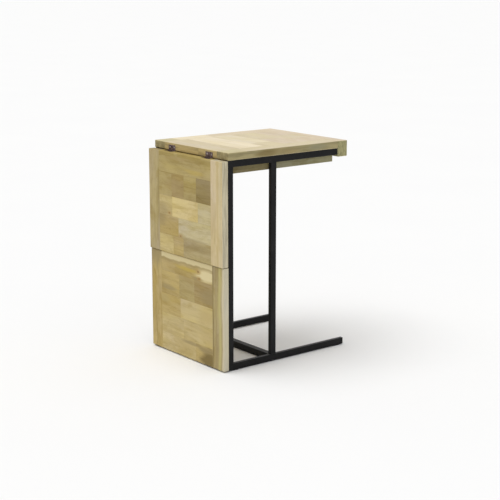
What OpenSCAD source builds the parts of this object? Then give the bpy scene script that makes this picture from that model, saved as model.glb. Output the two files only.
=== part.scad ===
// C-shaped side table. At the left a drop leaf hangs above a fixed side panel of the same face
// height, and at the right a shallow drawer opens, whose front is flush with the tabletop.
// The frame stands on two foot rails that slide under a sofa. Millimetres, +Z up.
// Origin: on the floor, in the middle of the whole table. +X points to the drawer front.

/* [Tabletop, leaf and panel] */
// Height of the tabletop above the floor
table_h = 640; // [600:1:660]
// Length of the tabletop, up to the drawer front
top_l = 414; // [400:1:440]
// Width of the tabletop, the leaf, the side panel and the drawer front
top_w = 365; // [350:1:390]
// Thickness of the tabletop and of the drop leaf
board_t = 22; // [20:1:24]
// Thickness of the fixed side panel
panel_board_t = 19; // [18:1:22]
// Height of the seam between the drop leaf and the side panel
seam_z = 311; // [290:1:330]
// Width of the two long edge strips of each board
strip_w = 54; // [48:1:60]
// Rounding of the outer edges of each board
edge_r = 2.5; // [1:0.5:3]

/* [Frame] */
// Height of a tube in the side frames
tube_h = 20; // [18:1:22]
// Thickness of a tube across the table
tube_d = 12; // [10:1:12]
// Wall of a tube
tube_wall = 1.5; // [1:0.1:2]
// How far the side frames stand in from the tabletop's long edges
frame_inset = 4; // [2:1:6]
// Distance from the tabletop's left end to the inner pair of posts
inner_post_x = 158; // [140:1:180]
// Length of a foot rail
foot_l = 448; // [430:1:460]
// Thickness of the glides under the foot rails
glide_t = 2; // [1:0.5:3]

/* [Drawer] */
// Thickness of the drawer front
front_t = 36; // [30:1:40]
// Height of the drawer front
front_h = 48; // [44:1:52]
// Height of the drawer box
box_h = 40; // [38:1:44]
// Thickness of the drawer box's walls
box_wall = 12; // [12:0.5:14]
// Gap between the drawer box and a side frame
box_gap = 1.5; // [1:0.1:2]

/* [Hinges] */
// Distance of each hinge from the middle of the table
hinge_y = 92; // [80:1:100]
// Length of each hinge
hinge_l = 35; // [30:1:38]
// Radial clearance between a pin and a turning knuckle
pin_fit = 0.05; // [0.02:0.01:0.09]

/* [Hidden] */
$fn = 64;

// Gaps that let the pieces move
leaf_gap = 1;
seam_gap = 1.5;
front_gap = 0.4;
floor_gap = 4;
edge_gap = 0.4;
knuckle_room = 0.5;
knuckle_gap = 0.3;

// Boards: u runs from the tabletop's left end, v from its near edge
top_z = table_h - board_t;
hinge_z = top_z - leaf_gap;
leaf_top = hinge_z - edge_gap;
leaf_bottom = seam_z + seam_gap / 2;
leaf_outer = -leaf_gap - board_t;
side_top = seam_z - seam_gap / 2;

// Share of each board taken by each of the planks that lie across it, between the strips
top_planks = [0.2, 0.21, 0.19, 0.21, 0.19];
leaf_planks = [0.2, 0.23, 0.195, 0.19, 0.185];
side_planks = [0.19, 0.23, 0.2, 0.2, 0.18];
plank_count = len(top_planks);

// Frame
tube_r = 1.5;
bore_r = 0.5;
foot_z = glide_t;
post_z = foot_z + tube_h;
rail_z = top_z - tube_h;
frame_near = frame_inset;
frame_far = top_w - frame_inset - tube_d;
cap_t = 1.5;
cap_depth = 10;
rail_l = top_l - front_gap - cap_t;
glide_l = 26;
glide_places = [14, foot_l - 40];

// Drawer
box_near = frame_inset + tube_d + box_gap;
box_far = top_w - box_near;
box_left = 22;
box_right = top_l - 8;
box_z = top_z - 1 - box_h;
panel_t = 4;
panel_z = box_z + 6;
panel_in = 3;
runner_h = 8;
runner_d = 6;
runner_z = rail_z + 3;
runner_u = 30;
runner_l = 370;
runner_gap = 0.4;
batten_h = 22;
batten_in = 40;

// Hinges
knuckle_r = 2.6;
pin_r = 1.2;
plate_t = 1.5;
plate_w = 17;
middle_share = 0.4;

// Screws: radius of the shank, radius of the head, length
hinge_screw = [1.2, 2.6, 12];
top_screw = [2, 3.5, 15.5];
front_screw = [2, 4, 36];
runner_screw = [1.5, 2.8, 9];
panel_screw = [2, 3.5, 17.5];
head_t = 2.4;
access_r = 3.9;
top_screw_places = [60, 250, 370];
front_screw_places = [80, top_w / 2, top_w - 80];
runner_screw_places = [75, 215, 355];
panel_screw_places = [60, 250];

// The table reaches from the drop leaf's outer face to the drawer front
left_x = -(top_l + front_t + leaf_outer) / 2;

wood = "burlywood";
dark_steel = [0.11, 0.11, 0.12];
bronze = "rosybrown";

// ---------- helpers ----------

// Puts a shape drawn in u, v, z where the table stands
module place() {
    translate([left_x, -top_w / 2, 0]) children();
}

// The same shape at both hinges
module at_hinges() {
    for (side = [-1, 1]) translate([0, top_w / 2 + side * hinge_y, 0]) children();
}

// Rectangle with round corners
module rounded_rect(a, b, r) {
    translate([r, 0]) square([a - 2 * r, b]);
    translate([0, r]) square([a, b - 2 * r]);
    for (x = [r, a - r], y = [r, b - r]) translate([x, y]) circle(r);
}

// Shapes drawn in a plane and extruded along X or Y
module along_x(length) {
    rotate([90, 0, 90]) linear_extrude(length) children();
}
module along_y(length) {
    translate([0, length, 0]) rotate([90, 0, 0]) linear_extrude(length) children();
}

// Board with all its outer edges rounded
module rounded_board(size, r) {
    intersection() {
        linear_extrude(size[2]) rounded_rect(size[0], size[1], r);
        along_x(size[0]) rounded_rect(size[1], size[2], r);
        along_y(size[1]) rounded_rect(size[0], size[2], r);
    }
}

// Round bar along Y, centred on v = 0
module bar_y(r, length) {
    rotate([90, 0, 0]) cylinder(r = r, h = length, center = true);
}

// Share of a list's values that comes before number i
function before(shares, i) = i == 0 ? 0 : shares[i - 1] + before(shares, i - 1);

// ---------- boards ----------

module tabletop_board() {
    translate([0, 0, top_z]) rounded_board([top_l - front_gap, top_w, board_t], edge_r);
}
module leaf_board() {
    translate([leaf_outer, 0, leaf_bottom])
        rounded_board([board_t, top_w, leaf_top - leaf_bottom], edge_r);
}
module side_board() {
    translate([-panel_board_t, 0, floor_gap])
        rounded_board([panel_board_t, top_w, side_top - floor_gap], edge_r);
}

// Edge strip of a board: number 0 at the near edge, 1 at the far edge
module strip(side) {
    intersection() {
        children();
        translate([-100, side * (top_w - strip_w), 0]) cube([top_l + 100, strip_w, table_h + 1]);
    }
}

module tabletop_strip(side) {
    color(wood) place() difference() {
        strip(side) tabletop_board();
        at_top_screws() screw(top_screw);
    }
}

module tabletop_plank(i) {
    length = top_l - front_gap;
    color(wood) place() difference() {
        intersection() {
            tabletop_board();
            translate([length * before(top_planks, i), strip_w, top_z])
                cube([length * top_planks[i], top_w - 2 * strip_w, board_t]);
        }
        if (i == 0) hinge_cuts();
    }
}

// One plank of a standing board between its strips, counted from the board's top edge
module cross_plank(i, planks, low, high) {
    height = high - low;
    intersection() {
        children();
        translate([leaf_outer, strip_w, high - height * (before(planks, i) + planks[i])])
            cube([-leaf_outer, top_w - 2 * strip_w, height * planks[i]]);
    }
}

module drop_leaf_strip(side) {
    color(wood) place() strip(side) leaf_board();
}
module drop_leaf_plank(i) {
    color(wood) place() difference() {
        cross_plank(i, leaf_planks, leaf_bottom, leaf_top) leaf_board();
        if (i == 0) hinge_cuts();
    }
}
module side_panel_strip(side) {
    color(wood) place() difference() {
        strip(side) side_board();
        at_panel_screws() screw(panel_screw);
    }
}
module side_panel_plank(i) {
    color(wood) place() cross_plank(i, side_planks, floor_gap, side_top) side_board();
}

// ---------- hinges ----------

// Knuckles of one hinge half, along Y on the axis. outer = true gives the two end ones
module knuckles(bore, outer) {
    middle_l = hinge_l * middle_share;
    end_l = (hinge_l - middle_l) / 2 - knuckle_gap;
    difference() {
        if (outer)
            for (side = [-1, 1]) translate([0, side * (hinge_l - end_l) / 2, 0]) bar_y(knuckle_r, end_l);
        else
            bar_y(knuckle_r, middle_l);
        bar_y(bore, hinge_l + 1);
    }
}

// Room cut from a plate for the other half's knuckles
module knuckle_cut(outer) {
    middle_l = hinge_l * middle_share;
    end_l = (hinge_l - middle_l) / 2;
    r = knuckle_r + knuckle_gap;
    if (outer)
        for (side = [-1, 1]) translate([0, side * (hinge_l - end_l + 1) / 2, 0]) bar_y(r, end_l + 1);
    else
        bar_y(r, middle_l + 2 * knuckle_gap);
}

// Hinge plate that lies along +X from the axis with its face up at z = face, and its knuckles
module hinge_plate(bore, face, outer) {
    difference() {
        translate([0, -hinge_l / 2, face - plate_t]) cube([plate_w, hinge_l, plate_t]);
        knuckle_cut(!outer);
        bar_y(bore, hinge_l + 1);
        plate_screws(face);
    }
    knuckles(bore, outer);
}

// The two countersunk screws of a plate, heads flush with its face
module plate_screws(face) {
    for (side = [-1, 1])
        translate([plate_w * 0.62, side * hinge_l * 0.3, face])
            rotate([180, 0, 0]) {
                cylinder(r1 = hinge_screw[1], r2 = hinge_screw[0], h = hinge_screw[1] - hinge_screw[0]);
                cylinder(r = hinge_screw[0], h = hinge_screw[2]);
            }
}

// Turns what is drawn along +X from the axis onto the tabletop's end, or onto the leaf's top edge
module on_tabletop_end() {
    at_hinges() translate([0, 0, hinge_z]) rotate([0, -90, 0]) children();
}
module on_leaf_top() {
    at_hinges() translate([0, 0, hinge_z]) mirror([1, 0, 0]) children();
}

module hinge_fixed_plates() {
    color(bronze) place() on_tabletop_end() hinge_plate(pin_r, 0, true);
}
module hinge_leaf_plates() {
    color(bronze) place() on_leaf_top() hinge_plate(pin_r + pin_fit, -edge_gap, false);
}
module hinge_pins() {
    color("silver") place() at_hinges() translate([0, 0, hinge_z]) bar_y(pin_r, hinge_l);
}
module hinge_tabletop_screws() {
    color("gray") place() on_tabletop_end() plate_screws(0);
}
module hinge_leaf_screws() {
    color("gray") place() on_leaf_top() plate_screws(-edge_gap);
}

// Mortises, screw holes and knuckle room that the hinges need in the boards
module hinge_cuts() {
    at_hinges() translate([0, 0, hinge_z]) bar_y(knuckle_r + knuckle_room, hinge_l + 1);
    on_tabletop_end() {
        translate([0, -hinge_l / 2, -plate_t]) cube([plate_w, hinge_l, plate_t + 1]);
        plate_screws(0);
    }
    on_leaf_top() {
        translate([0, -hinge_l / 2, -edge_gap - plate_t]) cube([plate_w, hinge_l, plate_t + 1]);
        plate_screws(-edge_gap);
    }
}

// ---------- frame ----------

// Cross-section of a tube, a wide in the first direction and b in the second
module tube_section(a, b) {
    difference() {
        rounded_rect(a, b, tube_r);
        translate([tube_wall, tube_wall]) rounded_rect(a - 2 * tube_wall, b - 2 * tube_wall, bore_r);
    }
}

// Wedge that mitres a corner, drawn in the side frame's plane
module mitre(points) {
    translate([0, -1, 0]) along_y(tube_d + 2) polygon(points);
}

// The near side frame's place, or the far one's
module side_frame(far) {
    place() translate([0, far ? frame_far : frame_near, 0]) children();
}

module foot_rail(far) {
    color(dark_steel) side_frame(far) translate([0, 0, foot_z]) difference() {
        along_x(foot_l - cap_t) tube_section(tube_d, tube_h);
        mitre([[-1, -1], [-1, tube_h + 1], [tube_h + 1, tube_h + 1]]);
    }
}
module top_rail(far) {
    color(dark_steel) difference() {
        side_frame(far) translate([0, 0, rail_z]) difference() {
            along_x(rail_l) tube_section(tube_d, tube_h);
            mitre([[-1, -1], [-1, tube_h + 1], [tube_h + 1, -1]]);
        }
        place() at_top_screws() {
            screw(top_screw);
            access_hole();
        }
        place() runner_screw_shapes();
    }
}
module outer_post(far) {
    color(dark_steel) difference() {
        side_frame(far) difference() {
            translate([0, 0, foot_z]) linear_extrude(top_z - foot_z) tube_section(tube_h, tube_d);
            translate([0, 0, foot_z]) mitre([[-1, -1], [tube_h + 1, tube_h + 1], [tube_h + 1, -1]]);
            translate([0, 0, rail_z]) mitre([[-1, tube_h + 1], [tube_h + 1, tube_h + 1], [tube_h + 1, -1]]);
        }
        place() at_panel_screws() {
            screw(panel_screw);
            access_hole();
        }
    }
}
module inner_post(far) {
    color(dark_steel) side_frame(far) translate([inner_post_x, 0, post_z])
        linear_extrude(rail_z - post_z) tube_section(tube_h, tube_d);
}
module floor_crossbar() {
    color(dark_steel) place() translate([inner_post_x, frame_near + tube_d, foot_z])
        along_y(frame_far - frame_near - tube_d) tube_section(tube_h, tube_h);
}

// Plug with a flat head that closes the end of a rail
module end_cap() {
    inner_w = tube_d - 2 * tube_wall;
    inner_h = tube_h - 2 * tube_wall;
    along_x(cap_t) rounded_rect(tube_d, tube_h, tube_r);
    translate([-cap_depth, tube_wall, tube_wall]) along_x(cap_depth) rounded_rect(inner_w, inner_h, bore_r);
}
module foot_end_caps() {
    for (far = [false, true])
        color("black") side_frame(far) translate([foot_l - cap_t, 0, foot_z]) end_cap();
}
module rail_end_caps() {
    for (far = [false, true])
        color("black") side_frame(far) translate([rail_l, 0, rail_z]) end_cap();
}
module floor_glides() {
    for (far = [false, true], u = glide_places)
        color("black") side_frame(far) translate([u, 1, 0])
            linear_extrude(glide_t) rounded_rect(glide_l, tube_d - 2, 2);
}

// A pan head screw that points up, and the hole in a tube's other wall that lets it in
module screw(size) {
    cylinder(r = size[1], h = head_t);
    cylinder(r = size[0], h = size[2]);
}
module access_hole() {
    translate([0, 0, -tube_h]) cylinder(r = access_r, h = tube_h);
}

// Screws that hold the tabletop, their heads inside the top rails
module at_top_screws() {
    for (v = [frame_near + tube_d / 2, frame_far + tube_d / 2], u = top_screw_places)
        translate([u, v, top_z - tube_wall - head_t]) children();
}
module tabletop_screws() {
    color("gray") place() at_top_screws() screw(top_screw);
}

// Screws that hold the side panel, their heads inside the outer posts
module at_panel_screws() {
    for (v = [frame_near + tube_d / 2, frame_far + tube_d / 2], z = panel_screw_places)
        translate([tube_wall + head_t, v, z]) rotate([0, -90, 0]) children();
}
module side_panel_screws() {
    color("black") place() at_panel_screws() screw(panel_screw);
}

// ---------- drawer ----------

// Half of the table, mirrored to the far side when far is true
module handed(far) {
    if (far) translate([0, top_w, 0]) mirror([0, 1, 0]) children();
    else children();
}

module runner_screw_shape(u) {
    translate([u, box_near - box_gap + runner_d, runner_z + runner_h / 2]) rotate([90, 0, 0]) {
        cylinder(r1 = runner_screw[1], r2 = runner_screw[0], h = runner_screw[1] - runner_screw[0]);
        cylinder(r = runner_screw[0], h = runner_screw[2]);
    }
}
module runner_screw_shapes() {
    for (far = [false, true], u = runner_screw_places) handed(far) runner_screw_shape(u);
}
module runner_screws() {
    for (far = [false, true], u = runner_screw_places)
        color("gray") place() handed(far) runner_screw_shape(u);
}
module drawer_runner(far) {
    color("peru") place() handed(far) difference() {
        translate([runner_u, box_near - box_gap, runner_z]) cube([runner_l, runner_d, runner_h]);
        for (u = runner_screw_places) runner_screw_shape(u);
    }
}

module drawer_front_screws() {
    for (v = front_screw_places) color("gray") place() front_screw_shape(v);
}
module front_screw_shape(v) {
    translate([box_right - box_wall - head_t, v, box_z + 28]) rotate([0, 90, 0]) {
        cylinder(r = front_screw[1], h = head_t);
        cylinder(r = front_screw[0], h = front_screw[2]);
    }
}
module front_screw_holes() {
    for (v = front_screw_places) front_screw_shape(v);
}

module drawer_front() {
    color(wood) place() difference() {
        translate([top_l, 0, table_h - front_h]) rounded_board([front_t, top_w, front_h], edge_r);
        front_screw_holes();
    }
}
module drawer_front_batten() {
    color("peru") place() difference() {
        translate([box_right, batten_in, table_h - front_h + 2])
            cube([top_l - box_right, top_w - 2 * batten_in, batten_h]);
        front_screw_holes();
    }
}
module drawer_inner_front() {
    color(wood) place() difference() {
        translate([box_right - box_wall, box_near + box_wall, box_z])
            cube([box_wall, box_far - box_near - 2 * box_wall, box_h]);
        front_screw_holes();
        bottom_panel_shape();
    }
}
module drawer_back() {
    color(wood) place() difference() {
        translate([box_left, box_near + box_wall, box_z])
            cube([box_wall, box_far - box_near - 2 * box_wall, box_h]);
        bottom_panel_shape();
    }
}
module drawer_side(far) {
    color(wood) place() difference() {
        handed(far) difference() {
            translate([box_left, box_near, box_z]) cube([box_right - box_left, box_wall, box_h]);
            translate([box_left - 1, box_near - 1, runner_z - runner_gap])
                cube([runner_u + runner_l + 2 - box_left + 1, runner_d - 1 + 0.5, runner_h + 2 * runner_gap]);
        }
        bottom_panel_shape();
    }
}
module bottom_panel_shape() {
    translate([box_left + box_wall - panel_in, box_near + box_wall - panel_in, panel_z])
        cube([
            box_right - box_left - 2 * (box_wall - panel_in),
            box_far - box_near - 2 * (box_wall - panel_in),
            panel_t
        ]);
}
module drawer_bottom() {
    color("tan") place() bottom_panel_shape();
}

// ---------- nodes ----------

side_names = ["near", "far"];
far_side = [false, true];

function names(parts) = [for (part = parts) for (s = side_names) str(part, "_", s)];
function numbered(part) = [for (i = [1:plank_count]) str(part, "_", i)];

for (i = [0, 1]) {
    foot_rail(far_side[i]);
    top_rail(far_side[i]);
    outer_post(far_side[i]);
    inner_post(far_side[i]);
    tabletop_strip(i);
    drop_leaf_strip(i);
    side_panel_strip(i);
    drawer_runner(far_side[i]);
    drawer_side(far_side[i]);
}
for (i = [1:plank_count]) {
    tabletop_plank(i - 1);
    drop_leaf_plank(i - 1);
    side_panel_plank(i - 1);
}
floor_crossbar();
foot_end_caps();
rail_end_caps();
floor_glides();
tabletop_screws();
hinge_fixed_plates();
hinge_pins();
hinge_tabletop_screws();
hinge_leaf_plates();
hinge_leaf_screws();
side_panel_screws();
runner_screws();
drawer_front();
drawer_front_batten();
drawer_inner_front();
drawer_back();
drawer_bottom();
drawer_front_screws();
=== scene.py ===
"""Looks of a C-shaped side table with a drop leaf and a drawer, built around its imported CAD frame."""

import math

import bpy
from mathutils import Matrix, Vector


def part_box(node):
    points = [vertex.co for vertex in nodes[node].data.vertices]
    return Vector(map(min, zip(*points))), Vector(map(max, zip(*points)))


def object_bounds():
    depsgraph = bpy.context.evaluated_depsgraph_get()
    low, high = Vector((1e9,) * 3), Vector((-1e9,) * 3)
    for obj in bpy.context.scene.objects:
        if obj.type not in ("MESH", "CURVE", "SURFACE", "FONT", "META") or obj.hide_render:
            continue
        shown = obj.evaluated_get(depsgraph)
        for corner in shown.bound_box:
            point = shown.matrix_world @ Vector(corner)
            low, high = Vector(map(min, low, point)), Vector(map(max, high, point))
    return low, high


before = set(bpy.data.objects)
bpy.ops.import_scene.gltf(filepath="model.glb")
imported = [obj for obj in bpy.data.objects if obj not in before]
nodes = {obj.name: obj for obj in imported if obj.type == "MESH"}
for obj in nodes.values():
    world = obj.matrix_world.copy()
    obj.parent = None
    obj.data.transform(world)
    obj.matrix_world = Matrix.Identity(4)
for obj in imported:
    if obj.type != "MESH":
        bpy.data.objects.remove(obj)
cad_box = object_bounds()

X, Y, Z = range(3)
SIDES = ("near", "far")
PLANKS = range(1, 6)

# Half-depth of a stain on a standing board: it goes right through the board
THROUGH = 0.05

# Wood tones (sRGB, 0 to 255), as the eye sees them in even light, save those marked below as painted light
# or shade
TONES = {
    "cream": (222, 207, 160),
    "sand": (216, 197, 142),
    "moss": (201, 188, 148),
    "honey": (203, 185, 135),
    "tan": (191, 170, 116),
    "olive": (181, 163, 111),
    "brown": (171, 150, 102),
    "umber": (157, 140, 99),
    "grey_tan": (182, 166, 126),
    "lime": (192, 181, 122),
    "gold": (190, 166, 84),
    "amber": (176, 142, 84),
    "pink": (212, 194, 156),
    # From here to straw: the tabletop's pale tones, made paler as painted light from above; the first and
    # palest is a painted highlight on the middle of the top
    "painted_top_highlight": (236, 223, 195),
    "bone": (228, 216, 190),
    "blush": (219, 204, 180),
    "linen": (217, 204, 175),
    "straw": (207, 196, 158),
    "ash": (213, 204, 176),
    "chalk": (222, 216, 196),
    "sage": (182, 178, 132),
    "weathered": (175, 163, 120),
    "lichen": (152, 148, 118),
    # A dark tone that is painted shade, for the drawer sides under the tabletop
    "shade": (132, 122, 88),
    "bark": (124, 106, 62),
    "knot_heart": (98, 74, 42),
}

# Blocks of each board's planks, from the near strip to the far one: tone and share of the plank
LEAF_BLOCKS = (
    (("olive", 1),),
    (("umber", 0.27), ("olive", 0.24), ("brown", 0.24), ("olive", 0.25)),
    (("moss", 0.24), ("sand", 0.5), ("honey", 0.26)),
    (("moss", 0.62), ("tan", 0.38)),
    (("grey_tan", 0.52), ("tan", 0.2), ("honey", 0.28)),
)
PANEL_BLOCKS = (
    (("tan", 1),),
    (("brown", 0.34), ("olive", 0.3), ("tan", 0.36)),
    (("honey", 0.62), ("tan", 0.38)),
    (("honey", 0.56), ("honey", 0.44)),
    (("tan", 0.32), ("honey", 0.68)),
)
# The tabletop's planks take the pale tones of painted light from above, brightest on the middle planks as
# a painted soft highlight
TOP_BLOCKS = (
    (("linen", 0.34), ("linen", 0.66)),
    (("painted_top_highlight", 0.52), ("painted_top_highlight", 0.48)),
    (("linen", 0.24), ("bone", 0.4), ("bone", 0.36)),
    (("blush", 0.46), ("linen", 0.54)),
    (("blush", 0.3), ("linen", 0.3), ("blush", 0.4)),
)

# Blocks of the long strips, from the left or from below, and of the drawer front
STRIP_BLOCKS = {
    "drop_leaf_strip_near": (("pink", 1),),
    "drop_leaf_strip_far": (("grey_tan", 1),),
    "side_panel_strip_near": (("grey_tan", 1),),
    "side_panel_strip_far": (("tan", 1),),
    # The tabletop strips and the drawer front take the pale tones of painted light from above; the far
    # strip's middle block is the painted highlight
    "tabletop_strip_near": (("straw", 0.16), ("linen", 0.84)),
    "tabletop_strip_far": (("straw", 0.14), ("painted_top_highlight", 0.3), ("blush", 0.56)),
    "drawer_front": (("blush", 1),),
}


def linear(rgb):
    """An sRGB colour, 0 to 255, as linear light with alpha."""
    def channel(c):
        c /= 255
        return c / 12.92 if c <= 0.04045 else ((c + 0.055) / 1.055) ** 2.4
    return tuple(channel(c) for c in rgb) + (1,)


def tone_colour(tone):
    return linear(TONES[tone])


def shaded(colour, factor):
    """A colour made lighter or darker by a factor."""
    return tuple(min(1, c * factor) for c in colour[:3]) + (1,)


def scaled_along(grain, along, across):
    """Texture scale for a grain that runs along an axis."""
    return tuple(along if axis == grain else across for axis in range(3))


def share_of(node, axis, share):
    """How far along an axis a share of a node's box lies."""
    low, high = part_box(node)
    return low[axis] + (high[axis] - low[axis]) * share


class Shader:
    """Short names for building one material's nodes."""

    def __init__(self, name):
        self.material = bpy.data.materials.new(name)
        self.material.use_nodes = True
        self.tree = self.material.node_tree
        self.surface = self.tree.nodes["Principled BSDF"]

    def plug(self, socket, value):
        """Feeds a socket from another node's output, or sets its own value."""
        if isinstance(value, bpy.types.NodeSocket):
            self.tree.links.new(value, socket)
        else:
            socket.default_value = value

    def add(self, kind, inputs=None, **settings):
        node = self.tree.nodes.new("ShaderNode" + kind)
        for key, value in settings.items():
            setattr(node, key, value)
        for key, value in (inputs or {}).items():
            self.plug(node.inputs[key], value)
        return node

    def math(self, operation, *values):
        return self.add("Math", dict(enumerate(values)), operation=operation).outputs[0]

    def vector_math(self, operation, a, b):
        return self.add("VectorMath", {0: a, 1: b}, operation=operation).outputs[0]

    def length_of(self, vector):
        return self.add("VectorMath", {0: vector}, operation="LENGTH").outputs["Value"]

    def mix(self, factor, a, b, blend="MIX"):
        node = self.add("Mix", data_type="RGBA", blend_type=blend)
        for count, value in ((0, factor), (6, a), (7, b)):
            self.plug(node.inputs[count], value)
        return node.outputs[2]

    def tinted(self, colour, factors):
        """A colour multiplied by red, green and blue factors."""
        return self.mix(1.0, colour, factors + (1,), "MULTIPLY")

    def place(self):
        """Position in the object, which is the position in the table at rest."""
        return self.add("TexCoord").outputs["Object"]

    def stretched(self, scale):
        return self.add("Mapping", {"Vector": self.place(), "Scale": scale}).outputs[0]

    def noise(self, vector, detail=2.0, distortion=0.0, seed=None, roughness=0.5):
        inputs = {"Vector": vector, "Scale": 1.0, "Detail": detail}
        inputs.update({"Distortion": distortion, "Roughness": roughness})
        if seed is not None:
            inputs["W"] = seed
        kind = "3D" if seed is None else "4D"
        return self.add("TexNoise", inputs, noise_dimensions=kind).outputs["Fac"]

    def even_noise(self, scale, detail=2.0, distortion=0.0, seed=None):
        """Noise of the same size in all directions."""
        return self.noise(self.stretched((scale, scale, scale)), detail, distortion, seed)

    def grain_noise(self, grain, along, across, detail=2.0, distortion=0.0, seed=None, roughness=0.5):
        """Noise drawn out along an axis."""
        scale = scaled_along(grain, along, across)
        return self.noise(self.stretched(scale), detail, distortion, seed, roughness)

    def steps(self, factor, stops):
        """A ramp of flat steps, two or more, each a start and a colour."""
        ramp = self.add("ValToRGB", {"Fac": factor})
        ramp.color_ramp.interpolation = "CONSTANT"
        elements = ramp.color_ramp.elements
        for extra in range(len(stops) - 2):
            elements.new(0.5)
        for element, (position, colour) in zip(elements, stops):
            element.position = position
            element.color = colour
        return ramp.outputs[0]

    def fade(self, value, low, high, to_low=0.0, to_high=1.0):
        inputs = {"Value": value, "From Min": low, "From Max": high}
        inputs.update({"To Min": to_low, "To Max": to_high})
        return self.add("MapRange", inputs, interpolation_type="SMOOTHSTEP").outputs[0]

    def edges(self, radius):
        """1 along the sharp edges of the mesh, out to a radius, and 0 on its faces."""
        turned = self.add("Bevel", {"Radius": radius}, samples=4).outputs[0]
        straight = self.add("NewGeometry").outputs["True Normal"]
        facing = self.add("VectorMath", {0: turned, 1: straight}, operation="DOT_PRODUCT")
        return self.fade(facing.outputs["Value"], 0.8, 0.99, 1.0, 0.0)

    def bump(self, height, strength, distance):
        inputs = {"Height": height, "Strength": strength, "Distance": distance}
        self.plug(self.surface.inputs["Normal"], self.add("Bump", inputs).outputs[0])

    def set(self, **values):
        names = {
            "colour": "Base Color",
            "rough": "Roughness",
            "metal": "Metallic",
            "specular": "Specular IOR Level",
        }
        for key, value in values.items():
            self.plug(self.surface.inputs[names[key]], value)


class Wood(Shader):
    """A planed, oiled plank, whose colour is laid on in layers.

    grain is the axis that the grain and the blocks run along, and face the axis that the broad
    face looks along. figure scales the contrast of the grain, and seed shifts its pattern.
    """

    def __init__(self, name, box, grain, face, seed, figure):
        super().__init__(name)
        self.low, self.high = box
        self.grain = grain
        self.face = face
        self.seed = seed
        self.figure = figure
        self.axes = self.add("SeparateXYZ", {"Vector": self.place()}).outputs
        self.length = self.high[grain] - self.low[grain]
        from_end = self.math("SUBTRACT", self.axes[grain], self.low[grain])
        self.share = self.math("DIVIDE", from_end, self.length)
        facing = self.add("TexCoord").outputs["Normal"]
        normal = self.add("SeparateXYZ", {"Vector": facing}).outputs
        self.on_face = self.fade(self.math("ABSOLUTE", normal[face]), 0.45, 0.85)
        self.on_end = self.fade(self.math("ABSOLUTE", normal[grain]), 0.75, 0.95)

    def lay_blocks(self, blocks):
        """Blocks of different tone, each with a number that gives it its own figure."""
        self.starts = []
        tones, numbers, start = [], [], 0.0
        for count, (tone, width) in enumerate(blocks):
            number = (count * 0.37 + 0.11) % 1
            self.starts.append(start)
            tones.append((start, tone_colour(tone)))
            numbers.append((start, (number, number, number, 1)))
            start += width
        if len(blocks) > 1:
            self.colour = self.steps(self.share, tones)
            self.own = self.math("MULTIPLY_ADD", self.steps(self.share, numbers), 9.0, self.seed)
        else:
            self.colour = tones[0][1]
            self.own = self.seed

    def field(self, along, across, detail=2.0, distortion=0.3, roughness=0.5):
        return self.grain_noise(self.grain, along, across, detail, distortion, self.own, roughness)

    def tint(self, amount, factors):
        """Multiplies the colour by red, green and blue factors, as strongly as the figure is."""
        full = self.tinted(self.colour, factors)
        self.colour = self.mix(self.math("MULTIPLY", amount, self.figure), self.colour, full)

    def paint(self, amount, tone):
        self.colour = self.mix(amount, self.colour, tone_colour(tone))

    def drift(self):
        """Slow drift between a yellow and a greyer, pinker wood."""
        slow = self.field(4.0, 17.0, 2.0, 0.5)
        warm = self.tinted(self.colour, (1.02, 1.01, 0.84))
        cool = self.tinted(self.colour, (0.97, 0.97, 1.08))
        drifted = self.mix(self.fade(slow, 0.3, 0.7), warm, cool)
        self.colour = self.mix(self.figure, self.colour, drifted)

    def grow(self):
        """Broad light and dark bands, growth rings, stained streaks, fine grain and open pores."""
        wide = self.field(3.0, 30.0, 2.0, 0.8)
        self.middling = self.field(9.0, 88.0, 3.0, 0.9)
        warp = self.field(3.2, 14.0, 2.0, 0.7)
        self.rings = self.fade(self.math("SINE", self.math("MULTIPLY", warp, 74.0)), 0.0, 1.0)
        lines = self.field(5.0, 260.0, 2.0, 0.2)
        self.fine = self.field(24.0, 560.0, 3.0, 0.1, 0.62)
        self.pores = self.field(60.0, 1700.0, 1.0, 0.0)
        self.mottle = self.even_noise(42.0, 4.0, 0.6, self.own)
        heart = self.field(8.0, 19.0, 3.0, 0.7)
        self.tint(self.fade(heart, 0.5, 0.56, 0.0, 0.7), (0.86, 0.82, 0.65))
        self.tint(self.fade(heart, 0.47, 0.36, 0.0, 0.6), (1.1, 1.1, 1.04))
        self.tint(self.fade(wide, 0.48, 0.72, 0.0, 0.6), (0.74, 0.7, 0.55))
        self.tint(self.fade(self.middling, 0.5, 0.72, 0.0, 0.45), (0.7, 0.66, 0.51))
        self.tint(self.math("MULTIPLY", self.rings, 0.22), (0.76, 0.72, 0.57))
        self.tint(self.fade(lines, 0.6, 0.72, 0.0, 0.35), (0.64, 0.59, 0.47))
        self.tint(self.fade(self.fine, 0.5, 0.74, 0.0, 0.4), (0.66, 0.61, 0.48))
        self.tint(self.fade(self.pores, 0.64, 0.74, 0.0, 0.7), (0.42, 0.34, 0.24))
        self.tint(self.fade(self.mottle, 0.52, 0.82, 0.0, 0.5), (0.74, 0.64, 0.5))

    def tone_narrow_faces(self, tone, strength):
        """The board's narrow faces in their own streaked tone."""
        own = tone_colour(tone)
        streaked = self.mix(self.fade(self.middling, 0.4, 0.66, 0.0, 0.75), own, shaded(own, 0.6))
        narrow = self.mix(strength, self.colour, streaked)
        self.colour = self.mix(self.on_face, narrow, self.colour)

    def away_from(self, point, radii):
        """Distance from a point, where the radii count as 1."""
        offset = self.vector_math("SUBTRACT", self.place(), point)
        return self.length_of(self.vector_math("DIVIDE", offset, radii))

    def roughen(self, value, noise, amount):
        """A value moved up and down by a noise."""
        return self.math("MULTIPLY_ADD", self.math("SUBTRACT", noise, 0.5), amount, value)

    def stain(self, point, radii, tone, strength):
        """A soft patch."""
        reach = self.roughen(self.away_from(point, radii), self.middling, 1.5)
        self.paint(self.fade(reach, 0.35, 1.15, strength, 0.0), tone)

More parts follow.
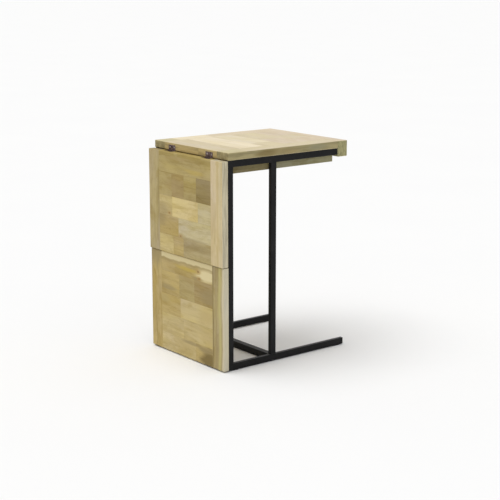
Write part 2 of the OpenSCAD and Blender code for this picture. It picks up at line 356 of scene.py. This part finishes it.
    def streak(self, axis, middle, width, tone, strength):
        """A soft, swaying streak along the grain."""
        sway = self.grain_noise(self.grain, 8.0, 1.0, seed=self.seed + 5.0)
        offset = self.roughen(self.axes[axis], sway, width * 1.6)
        gap = self.math("ABSOLUTE", self.math("SUBTRACT", offset, middle))
        self.paint(self.fade(gap, 0.0, width, strength, 0.0), tone)

    def grow_sapwood(self, axis, rim, depth):
        """A pale band with a wavy, darker border along one edge."""
        wave = self.grain_noise(self.grain, 17.0, 2.0, distortion=0.4, seed=self.seed + 3.0)
        reach = self.roughen(self.axes[axis], wave, depth * 1.3)
        start = rim - depth
        pale = self.fade(reach, start - 0.002, start + 0.003)
        border = self.fade(reach, start - 0.012, start - 0.001)
        self.paint(self.math("MULTIPLY", border, 0.55), "umber")
        self.paint(self.math("MULTIPLY", pale, 0.8), "cream")

    def grow_knots(self, knots):
        """Ragged ovals with a dark heart and an amber halo, each a point and a radius."""
        chips = self.even_noise(330.0, 3.0, 0.8)
        for point, radius in knots:
            away = self.away_from(point, scaled_along(self.grain, radius * 1.7, radius))
            ragged = self.roughen(self.roughen(away, chips, 2.4), self.mottle, 2.0)
            self.paint(self.fade(ragged, 0.9, 3.6, 0.6, 0.0), "amber")
            self.paint(self.fade(ragged, 0.1, 1.1, 0.7, 0.0), "knot_heart")

    def draw_glue_lines(self):
        """Fine dark lines round the plank and between its blocks, on the broad faces."""
        side = 3 - self.grain - self.face
        from_low = self.math("SUBTRACT", self.axes[side], self.low[side])
        from_high = self.math("SUBTRACT", self.high[side], self.axes[side])
        nearest = self.math("MINIMUM", from_low, from_high)
        for position in self.starts + [1.0]:
            away = self.math("ABSOLUTE", self.math("SUBTRACT", self.share, position))
            joint = self.math("MULTIPLY_ADD", away, self.length, 0.0003)
            nearest = self.math("MINIMUM", nearest, joint)
        glue = self.math("MULTIPLY", self.on_face, self.fade(nearest, 0.0001, 0.0009, 0.28, 0.0))
        self.colour = self.mix(glue, self.colour, self.tinted(self.colour, (0.5, 0.42, 0.3)))

    def cut_ends(self):
        """End grain, darker and speckled, where the grain runs out."""
        speck = self.even_noise(900.0)
        arcs = self.math("SINE", self.math("MULTIPLY", self.even_noise(9.0, 1.0), 150.0))
        deep = self.tinted(self.colour, (0.55, 0.48, 0.36))
        end = self.mix(self.fade(arcs, -1.0, 1.0, 0.12, 0.4), self.colour, deep)
        end = self.mix(self.fade(speck, 0.5, 0.7, 0.0, 0.35), end, (0.14, 0.1, 0.05, 1))
        self.colour = self.mix(self.on_end, self.colour, end)

    def finish(self):
        """Oiled sheen and the relief of grain and rings."""
        rough = self.math("MULTIPLY_ADD", self.fine, 0.24, 0.44)
        self.set(colour=self.colour, rough=rough, specular=0.12)
        height = self.math("MULTIPLY_ADD", self.fine, 0.6, self.math("MULTIPLY", self.pores, -0.4))
        self.bump(self.math("MULTIPLY_ADD", self.rings, 0.14, height), 0.35, 0.0006)
        return self.material


def wood(
    name, box, grain, face, blocks, seed,
    knots=(), patches=(), streaks=(), sapwood=None, edge=None, figure=1.0, seams=False,
):
    """The material of one board. The extras are the arguments of the Wood methods that draw them."""
    board = Wood(name, box, grain, face, seed, figure)
    board.lay_blocks(blocks)
    board.drift()
    board.grow()
    if edge:
        board.tone_narrow_faces(*edge)
    for patch in patches:
        board.stain(*patch)
    for streak in streaks:
        board.streak(*streak)
    if sapwood:
        board.grow_sapwood(*sapwood)
    if knots:
        board.grow_knots(knots)
    if seams:
        board.draw_glue_lines()
    board.cut_ends()
    return board.finish()


def powder_coat():
    """Satin black powder coat: orange peel, dust mottle, painted light on upper faces, rubbed and
    painted-highlight edges.
    """
    s = Shader("black_powder_coat")
    peel = s.even_noise(900.0)
    dust = s.even_noise(26.0, 4.0, 0.6)
    scuff = s.grain_noise(Z, 14.0, 160.0, 3.0, 0.2)
    clean, dusty = (0.008, 0.0081, 0.0084, 1), (0.015, 0.0151, 0.0156, 1)
    colour = s.mix(s.fade(dust, 0.35, 0.75), clean, dusty)
    facing = s.add("TexCoord").outputs["Normal"]
    upward = s.fade(s.add("SeparateXYZ", {"Vector": facing}).outputs[Z], 0.4, 0.95)
    # Upper faces lighter: painted light from above, broken up by the dust noise
    painted_top_light = s.math("MULTIPLY", upward, s.fade(dust, 0.3, 0.7, 0.6, 1.0))
    colour = s.mix(painted_top_light, colour, (0.075, 0.075, 0.077, 1))
    # Lighter scuffed edges: partly rubbed wear, partly a painted highlight along the edges
    rubbed_and_lit_edges = s.math("MULTIPLY", s.edges(0.0008), s.fade(scuff, 0.35, 0.7, 0.1, 0.5))
    colour = s.mix(rubbed_and_lit_edges, colour, (0.06, 0.06, 0.062, 1))
    rough = s.math("MULTIPLY_ADD", dust, 0.16, s.math("MULTIPLY_ADD", scuff, 0.12, 0.34))
    s.set(colour=colour, rough=rough, specular=0.14)
    s.bump(peel, 0.22, 0.0003)
    return s.material


def moulded_plastic():
    """Black moulded plastic with a fine spark-eroded grain."""
    s = Shader("black_moulded_plastic")
    grain = s.even_noise(1400.0)
    cloud = s.even_noise(60.0)
    s.set(
        colour=s.mix(cloud, (0.014, 0.014, 0.014, 1), (0.026, 0.026, 0.027, 1)),
        rough=s.math("MULTIPLY_ADD", grain, 0.2, 0.45),
    )
    s.bump(grain, 0.3, 0.0002)
    return s.material


def aged_metal(name, base, rubbed_edge_highlight, dark, grain):
    """Plated metal with brushed lines, tarnish in patches and bright edges, partly rubbed wear and partly
    painted highlight.
    """
    s = Shader(name)
    patches = s.even_noise(260.0, 4.0, 0.8)
    lines = s.grain_noise(grain, 120.0, 4200.0)
    colour = s.mix(s.fade(patches, 0.38, 0.66), base, dark)
    # Bright edges: partly rubbed wear, partly a painted highlight
    colour = s.mix(s.math("MULTIPLY", s.edges(0.0004), 0.7), colour, rubbed_edge_highlight)
    rough = s.math("MULTIPLY_ADD", patches, 0.35, s.math("MULTIPLY_ADD", lines, 0.14, 0.14))
    s.set(colour=colour, rough=rough, metal=1.0)
    s.bump(s.math("ADD", lines, patches), 0.2, 0.0002)
    return s.material


def plywood():
    """A thin plywood panel: calm rotary-cut face veneer."""
    s = Shader("drawer_plywood")
    face = s.grain_noise(X, 2.0, 16.0, 3.0, 1.2)
    bands = s.fade(s.math("SINE", s.math("MULTIPLY", face, 40.0)), -1.0, 1.0)
    fine = s.grain_noise(X, 30.0, 700.0)
    pale, deep, dark = linear((206, 184, 142)), linear((184, 156, 110)), linear((150, 122, 80))
    colour = s.mix(s.math("MULTIPLY", bands, 0.45), pale, deep)
    colour = s.mix(s.fade(fine, 0.45, 0.75, 0.0, 0.35), colour, dark)
    s.set(colour=colour, rough=s.math("MULTIPLY_ADD", fine, 0.2, 0.5), specular=0.3)
    s.bump(fine, 0.25, 0.0004)
    return s.material


def dress(node, material):
    """Gives a CAD node its material."""
    slots = nodes[node].data.materials
    slots.clear()
    slots.append(material)


def dress_board(node, grain, face, blocks, seed, **extras):
    dress(node, wood(node + "_wood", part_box(node), grain, face, blocks, seed, **extras))


def point_on(node, share_y, share_z):
    """A point on the outer face of a standing board, by shares of its width and height."""
    return (share_of(node, X, 0), share_of(node, Y, share_y), share_of(node, Z, share_z))


def stain_on(node, share_y, share_z, half_width, half_height, tone, strength):
    """A stain on a standing board: its middle, its reach in metres, its tone and its strength."""
    return (point_on(node, share_y, share_z), (THROUGH, half_width, half_height), tone, strength)


def leaf_marks():
    """Stains and knots of the drop leaf's planks, by plank number."""
    first, second, third, fourth, fifth = [f"drop_leaf_plank_{i}" for i in PLANKS]
    return {
        1: {
            "patches": [
                stain_on(first, 0.3, 0.2, 0.06, 0.009, "gold", 0.5),
                stain_on(first, 0.62, 0.75, 0.07, 0.007, "brown", 0.6),
            ]
        },
        2: {
            "patches": [
                stain_on(second, 0.14, 0.4, 0.05, 0.03, "bark", 0.2),
                stain_on(second, 0.72, 0.5, 0.05, 0.02, "brown", 0.5),
            ]
        },
        3: {
            "patches": [
                stain_on(third, 0.93, 0.16, 0.03, 0.03, "umber", 0.4),
                stain_on(third, 0.55, 0.75, 0.07, 0.014, "sand", 0.6),
            ],
            "knots": [(point_on(third, 0.8, 0.14), 0.002)],
        },
        4: {
            "patches": [
                stain_on(fourth, 0.98, 0.85, 0.035, 0.03, "umber", 0.6),
                stain_on(fourth, 0.36, 0.04, 0.09, 0.005, "umber", 0.5),
            ],
            "knots": [(point_on(fourth, 0.58, 0.08), 0.0026)],
        },
        5: {"patches": [stain_on(fifth, 0.3, 0.62, 0.07, 0.012, "umber", 0.35)]},
    }


def panel_marks():
    """Stains, knots and sapwood of the side panel's planks, by plank number."""
    first, second, third, fourth, fifth = [f"side_panel_plank_{i}" for i in PLANKS]
    return {
        1: {
            "sapwood": (Z, share_of(first, Z, 1), 0.017),
            "patches": [
                stain_on(first, 0.1, 0.35, 0.06, 0.026, "cream", 0.95),
                stain_on(first, 0.47, 0.42, 0.06, 0.009, "gold", 0.9),
                stain_on(first, 0.3, 0.08, 0.035, 0.006, "umber", 0.7),
            ],
            "knots": [
                (point_on(first, 0.27, 0.46), 0.0032),
                (point_on(first, 0.25, 0.12), 0.0024),
            ],
        },
        2: {
            "patches": [
                stain_on(second, 0.05, 0.42, 0.06, 0.03, "umber", 0.7),
                stain_on(second, 0.86, 0.3, 0.05, 0.01, "umber", 0.7),
                stain_on(second, 0.45, 0.9, 0.07, 0.01, "brown", 0.6),
            ]
        },
        3: {
            "patches": [
                stain_on(third, 0.38, 0.5, 0.1, 0.02, "honey", 0.7),
                stain_on(third, 0.96, 0.75, 0.04, 0.014, "olive", 0.6),
                stain_on(third, 0.08, 0.5, 0.06, 0.03, "tan", 0.7),
            ]
        },
        4: {
            "patches": [
                stain_on(fourth, 0.75, 0.1, 0.07, 0.008, "brown", 0.5),
                stain_on(fourth, 0.08, 0.5, 0.05, 0.03, "tan", 0.6),
            ]
        },
        5: {
            "patches": [
                stain_on(fifth, 0.05, 0.3, 0.05, 0.04, "bark", 0.9),
                stain_on(fifth, 0.14, 0.8, 0.04, 0.012, "umber", 0.8),
                stain_on(fifth, 0.35, 0.9, 0.07, 0.006, "umber", 0.7),
            ]
        },
    }


def dress_planks():
    """The planks between the strips of the tabletop, the leaf and the side panel."""
    leaf, panel = leaf_marks(), panel_marks()
    for i in PLANKS:
        dress_board(
            f"drop_leaf_plank_{i}", Y, X, LEAF_BLOCKS[i - 1], 1.7 * i,
            figure=0.85, seams=True, **leaf[i],
        )
        dress_board(
            f"side_panel_plank_{i}", Y, X, PANEL_BLOCKS[i - 1], 20 + 2.3 * i,
            figure=0.75, seams=True, **panel[i],
        )
        dress_board(
            f"tabletop_plank_{i}", Y, Z, TOP_BLOCKS[i - 1], 40 + 1.9 * i,
            edge=("tan", 1.0), figure=0.35, seams=True,
        )


def dress_strip(node, grain, face, seed, **extras):
    dress_board(node, grain, face, STRIP_BLOCKS[node], seed, **extras)


def dress_leaf_and_panel_strips():
    leaf = "drop_leaf_strip_near"
    dress_strip(
        leaf, Z, X, 61, edge=("ash", 0.9), figure=0.6,
        streaks=[
            (Y, share_of(leaf, Y, 0.42), 0.007, "tan", 0.5),
            (Y, share_of(leaf, Y, 0.18), 0.006, "moss", 0.6),
        ],
    )
    panel = "side_panel_strip_near"
    dress_strip(
        panel, Z, X, 71, edge=("chalk", 0.95),
        streaks=[
            (Y, share_of(panel, Y, 0.94), 0.005, "bark", 0.7),
            (Y, share_of(panel, Y, 0.66), 0.006, "umber", 0.5),
            (Y, share_of(panel, Y, 0.34), 0.011, "lime", 0.9),
            (Y, share_of(panel, Y, 0.04), 0.009, "ash", 0.9),
        ],
    )
    dress_strip("drop_leaf_strip_far", Z, X, 62, edge=("grey_tan", 0.6))
    far_panel = "side_panel_strip_far"
    dress_strip(
        far_panel, Z, X, 72, edge=("grey_tan", 0.6),
        # The dark stain at the top of this strip is a painted shadow under the seam with the drop leaf
        patches=[stain_on(far_panel, 0.5, 1, 0.05, 0.06, "umber", 0.8)],
    )


def rim_stains(node, side):
    """Stains along the outer edge of a tabletop strip."""
    rim = share_of(node, Y, 0 if side == "near" else 1)
    stains = []
    for along, reach, tone in ((0.34, 0.05, "bark"), (0.52, 0.06, "umber"), (0.8, 0.05, "lichen")):
        middle = (share_of(node, X, along), rim, share_of(node, Z, 0.5))
        stains.append((middle, (reach, 0.003, 0.012), tone, 0.7))
    return stains


def dress_tabletop_strips():
    for count, side in enumerate(SIDES):
        node = f"tabletop_strip_{side}"
        dress_strip(
            node, X, Z, 81 + count,
            edge=("weathered", 1.0), figure=0.35, patches=rim_stains(node, side),
        )


def dress_drawer():
    dress_strip("drawer_front", Y, Z, 91, edge=("sage", 1.0), figure=0.35)
    for count, node in enumerate(["drawer_side_near", "drawer_side_far"]):
        # The drawer sides are darkened as painted shade from the tabletop and rails above them
        dress_board(node, X, Y, (("shade", 0.42), ("lichen", 0.58)), 95 + count)
    for count, node in enumerate(["drawer_runner_near", "drawer_runner_far"]):
        dress_board(node, X, Y, (("brown", 1),), 98 + count)
    for count, node in enumerate(["drawer_back", "drawer_inner_front", "drawer_front_batten"]):
        dress_board(node, Y, X, (("olive", 1),), 101 + count)
    dress("drawer_bottom", plywood())


def side_tubes():
    """The tubes of both side frames."""
    parts = ("foot_rail", "top_rail", "outer_post", "inner_post")
    return [f"{part}_{side}" for part in parts for side in SIDES]


def dress_all(names, material):
    for node in names:
        dress(node, material)


def dress_metal_and_plastic():
    dress_all(side_tubes() + ["floor_crossbar", "side_panel_screws"], powder_coat())
    dress_all(["foot_end_caps", "rail_end_caps", "floor_glides"], moulded_plastic())
    bronze = aged_metal(
        "aged_bronze", (0.2, 0.135, 0.125, 1), (0.62, 0.48, 0.44, 1), (0.035, 0.022, 0.022, 1), Y
    )
    dress_all(["hinge_fixed_plates", "hinge_leaf_plates"], bronze)
    zinc = aged_metal(
        "dull_zinc", (0.5, 0.46, 0.43, 1), (0.75, 0.72, 0.7, 1), (0.16, 0.13, 0.12, 1), X
    )
    screws = ["hinge_tabletop_screws", "hinge_leaf_screws", "tabletop_screws", "runner_screws"]
    dress_all(["hinge_pins", "drawer_front_screws"] + screws, zinc)


def soften_steel():
    """A small bevel on the sharp mitred and cut ends of the tubes."""
    for node in side_tubes():
        bevel = nodes[node].modifiers.new("soft_ends", "BEVEL")
        bevel.width = 0.0004
        bevel.segments = 2
        bevel.limit_method = "ANGLE"
        bevel.angle_limit = math.radians(40)


def make_floor():
    """A pale studio floor, wide enough to reach past the picture."""
    half = 60
    corners = [(-half, -half, 0), (half, -half, 0), (half, half, 0), (-half, half, 0)]
    mesh = bpy.data.meshes.new("studio_floor")
    mesh.from_pydata(corners, [], [(0, 1, 2, 3)])
    floor = bpy.data.objects.new("studio_floor", mesh)
    bpy.context.scene.collection.objects.link(floor)
    s = Shader("studio_paper")
    paper = s.mix(s.even_noise(1.5), (0.9, 0.9, 0.9, 1), (0.92, 0.92, 0.915, 1))
    s.set(colour=paper, rough=0.85, specular=0.1)
    mesh.materials.append(s.material)


def add_sun(name, source, strength):
    """Even light from one side of the room, as soft as a large diffuser gives."""
    data = bpy.data.lights.new(name, "SUN")
    data.energy = strength
    data.angle = math.radians(50)
    light = bpy.data.objects.new(name, data)
    bpy.context.scene.collection.objects.link(light)
    light.rotation_euler = source.to_track_quat("Z", "Y").to_euler()


def light_studio():
    """Soft light from all round, with a little more from above."""
    world = bpy.data.worlds.new("studio")
    bpy.context.scene.world = world
    world.use_nodes = True
    background = world.node_tree.nodes["Background"]
    background.inputs["Color"].default_value = (1, 1, 1, 1)
    background.inputs["Strength"].default_value = 0.55
    add_sun("overhead_light", Vector((-0.25, 0.1, 1)), 1.75)
    bpy.context.scene.view_settings.view_transform = "Standard"


def aim_camera(centre):
    """The camera stands off at a fixed angle and distance, and looks just past the middle of the table."""
    azimuth, elevation = math.radians(38.38), math.radians(12.58)
    distance = 3.821
    aim = centre + Vector((0.0025, -0.0067, -0.0173))
    ahead = Vector((
        math.sin(azimuth) * math.cos(elevation),
        math.cos(azimuth) * math.cos(elevation),
        -math.sin(elevation),
    ))
    data = bpy.data.cameras.new("studio_camera")
    data.lens = 89.93
    data.sensor_width = 36
    camera = bpy.data.objects.new("studio_camera", data)
    bpy.context.scene.collection.objects.link(camera)
    camera.location = aim - ahead * distance
    camera.rotation_euler = ahead.to_track_quat("-Z", "Y").to_euler()
    bpy.context.scene.camera = camera


dress_planks()
dress_leaf_and_panel_strips()
dress_tabletop_strips()
dress_drawer()
dress_metal_and_plastic()
soften_steel()
make_floor()
light_studio()
aim_camera((Vector(cad_box[0]) + Vector(cad_box[1])) / 2)
